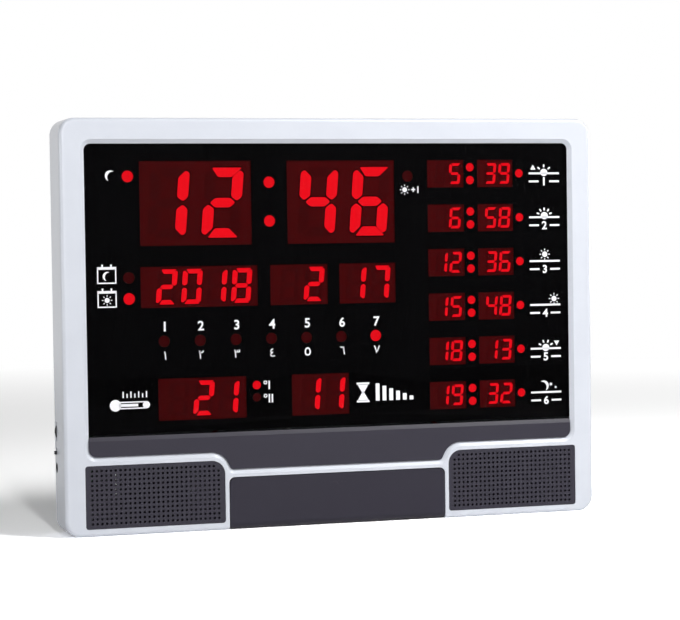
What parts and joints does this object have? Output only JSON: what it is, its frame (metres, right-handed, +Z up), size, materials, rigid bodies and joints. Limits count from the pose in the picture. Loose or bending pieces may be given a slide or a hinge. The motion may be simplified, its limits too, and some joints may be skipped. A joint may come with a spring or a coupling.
{
  "type": "azan clock",
  "caption": "Flat table or wall clock with a wide dark display window, red light-bar digits, two speaker grilles and a push-open control door.",
  "frame": {"origin": "centre of the casing's footprint, on the surface it stands on", "axes": "+X to the right of a person facing the display, +Z up, the display faces -Y"},
  "size_m": [0.4317, 0.043, 0.315],
  "materials": {
    "silver_plastic": "satin silver lacquered plastic",
    "dark_plastic": "fine matte dark grey plastic",
    "smoked_panel": "polished black acrylic",
    "black_film": "matt black film",
    "grey_cover": "matt light grey plastic",
    "black_plastic": "black moulded plastic",
    "key_rubber": "grey key rubber",
    "circuit_board": "green coated circuit board",
    "module_black": "black digit module body",
    "red_segment": "red light bars",
    "steel": "zinc plated steel",
    "brass": "plain brass",
    "paper_cone": "black paper cone",
    "magnet": "dark ferrite",
    "cell_jacket": "plain painted cell jacket",
    "wire_jacket": "red wire covering"
  },
  "bodies": {
    "casing": {"front_bezel": "silver_plastic", "display_lens": "smoked_panel", "display_mask": "black_film", "trim_band": "dark_plastic", "speaker_grille_left": "dark_plastic", "speaker_grille_right": "dark_plastic", "key_panel": "black_plastic", "key_switches": "black_plastic", "key_board": "circuit_board", "latch_body": "black_plastic", "volume_control": "steel", "slide_switch_body": "steel", "power_socket": "black_plastic", "side_board": "circuit_board", "display_board": "circuit_board", "main_board": "circuit_board", "main_chips": "black_plastic", "board_header": "black_plastic", "board_spacers": "brass", "infrared_receiver": "black_plastic", "temperature_sensor": "steel", "indicator_lights": "red_segment", "rear_cover": "grey_cover", "battery_cells": "cell_jacket", "battery_contacts": "steel", "cover_screws": "steel", "board_screws": "steel", "speaker_screws": "steel", "speaker_leads": "wire_jacket", "time_modules": "module_black", "time_segments": "red_segment", "date_modules": "module_black", "date_segments": "red_segment", "count_modules": "module_black", "count_segments": "red_segment", "prayer_modules": "module_black", "prayer_segments": "red_segment", "speaker_basket_left": "steel", "speaker_cone_left": "paper_cone", "speaker_magnet_left": "magnet", "speaker_basket_right": "steel", "speaker_cone_right": "paper_cone", "speaker_magnet_right": "magnet"},
    "door": {"control_door": "dark_plastic"},
    "latch": {"latch_plunger": "black_plastic"},
    "wheel": {"volume_wheel": "black_plastic"},
    "knob": {"slide_switch_knob": "black_plastic"},
    "lid": {"battery_lid": "grey_cover"},
    "key_menu": {"key_menu": "key_rubber"},
    "key_set": {"key_set": "key_rubber"},
    "key_up": {"key_up": "key_rubber"},
    "key_down": {"key_down": "key_rubber"},
    "key_sound": {"key_sound": "key_rubber"},
    "key_light": {"key_light": "key_rubber"}
  },
  "joints": [
    {"name": "control_door_hinge", "type": "hinge", "parent": "casing", "child": "door", "pos_m": [0, -0.0163, 0.0055], "axis": [1, 0, 0], "range_deg": [0, 90]},
    {"name": "latch_plunger_slide", "type": "slide", "parent": "casing", "child": "latch", "axis": [0, 1, 0], "range_m": [0, 0.002], "stiffness_N_per_m": 400},
    {"name": "volume_wheel_turn", "type": "hinge", "parent": "casing", "child": "wheel", "pos_m": [-0.20825, 0.0103, 0.078], "axis": [0, 1, 0], "range_deg": [0, 270]},
    {"name": "slide_switch_travel", "type": "slide", "parent": "casing", "child": "knob", "axis": [0, 0, 1], "range_m": [0, 0.0024]},
    {"name": "battery_lid_hinge", "type": "hinge", "parent": "casing", "child": "lid", "pos_m": [0, 0.0205, 0.0585], "axis": [-1, 0, 0], "range_deg": [0, 30]},
    {"name": "key_menu_press", "type": "slide", "parent": "casing", "child": "key_menu", "axis": [0, 1, 0], "range_m": [0, 0.0009], "stiffness_N_per_m": 400},
    {"name": "key_set_press", "type": "slide", "parent": "casing", "child": "key_set", "axis": [0, 1, 0], "range_m": [0, 0.0009], "stiffness_N_per_m": 400},
    {"name": "key_up_press", "type": "slide", "parent": "casing", "child": "key_up", "axis": [0, 1, 0], "range_m": [0, 0.0009], "stiffness_N_per_m": 400},
    {"name": "key_down_press", "type": "slide", "parent": "casing", "child": "key_down", "axis": [0, 1, 0], "range_m": [0, 0.0009], "stiffness_N_per_m": 400},
    {"name": "key_sound_press", "type": "slide", "parent": "casing", "child": "key_sound", "axis": [0, 1, 0], "range_m": [0, 0.0009], "stiffness_N_per_m": 400},
    {"name": "key_light_press", "type": "slide", "parent": "casing", "child": "key_light", "axis": [0, 1, 0], "range_m": [0, 0.0009], "stiffness_N_per_m": 400}
  ]
}
